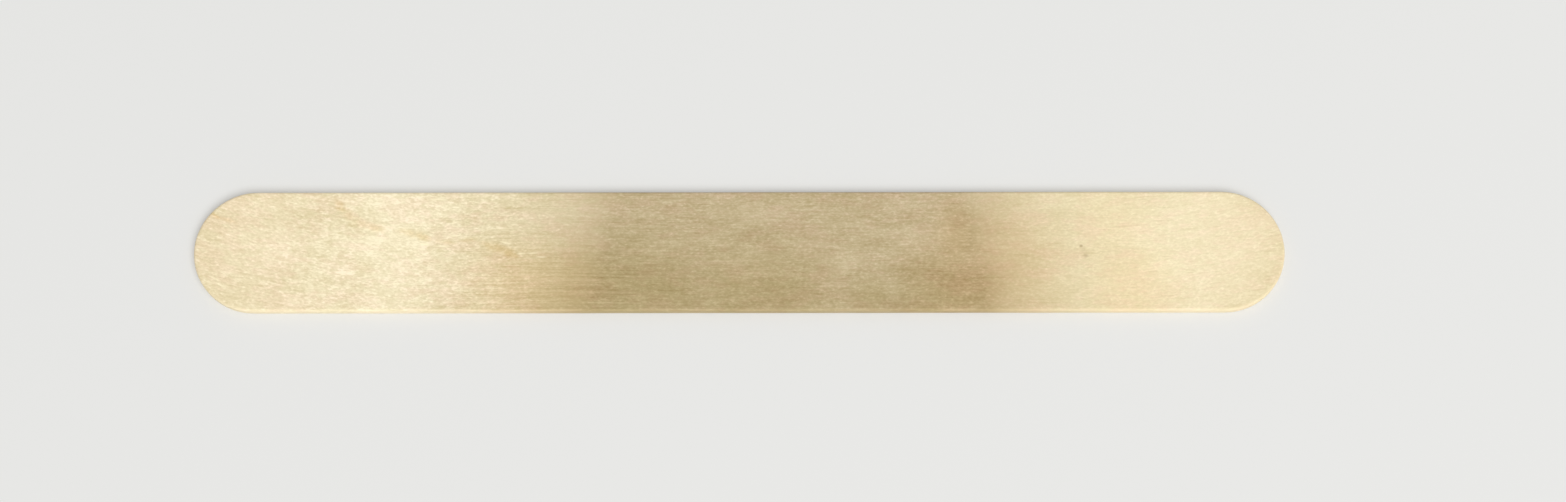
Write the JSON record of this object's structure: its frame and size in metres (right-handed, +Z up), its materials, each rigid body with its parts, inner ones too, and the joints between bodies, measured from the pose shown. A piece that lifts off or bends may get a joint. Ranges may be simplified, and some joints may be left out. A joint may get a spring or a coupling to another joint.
{
  "type": "tongue depressor",
  "caption": "Flat wooden tongue depressor with full-round ends and softened edges, for holding the tongue down while looking into the mouth and throat.",
  "frame": {"origin": "middle of the flat face that the blade lies on", "axes": "+X along the blade and the wood's grain, +Y across the blade, +Z up through its thickness"},
  "size_m": [0.15, 0.017, 0.0016],
  "materials": {
    "birch": "satin"
  },
  "bodies": {
    "root": {"blade": "birch"}
  },
  "joints": []
}
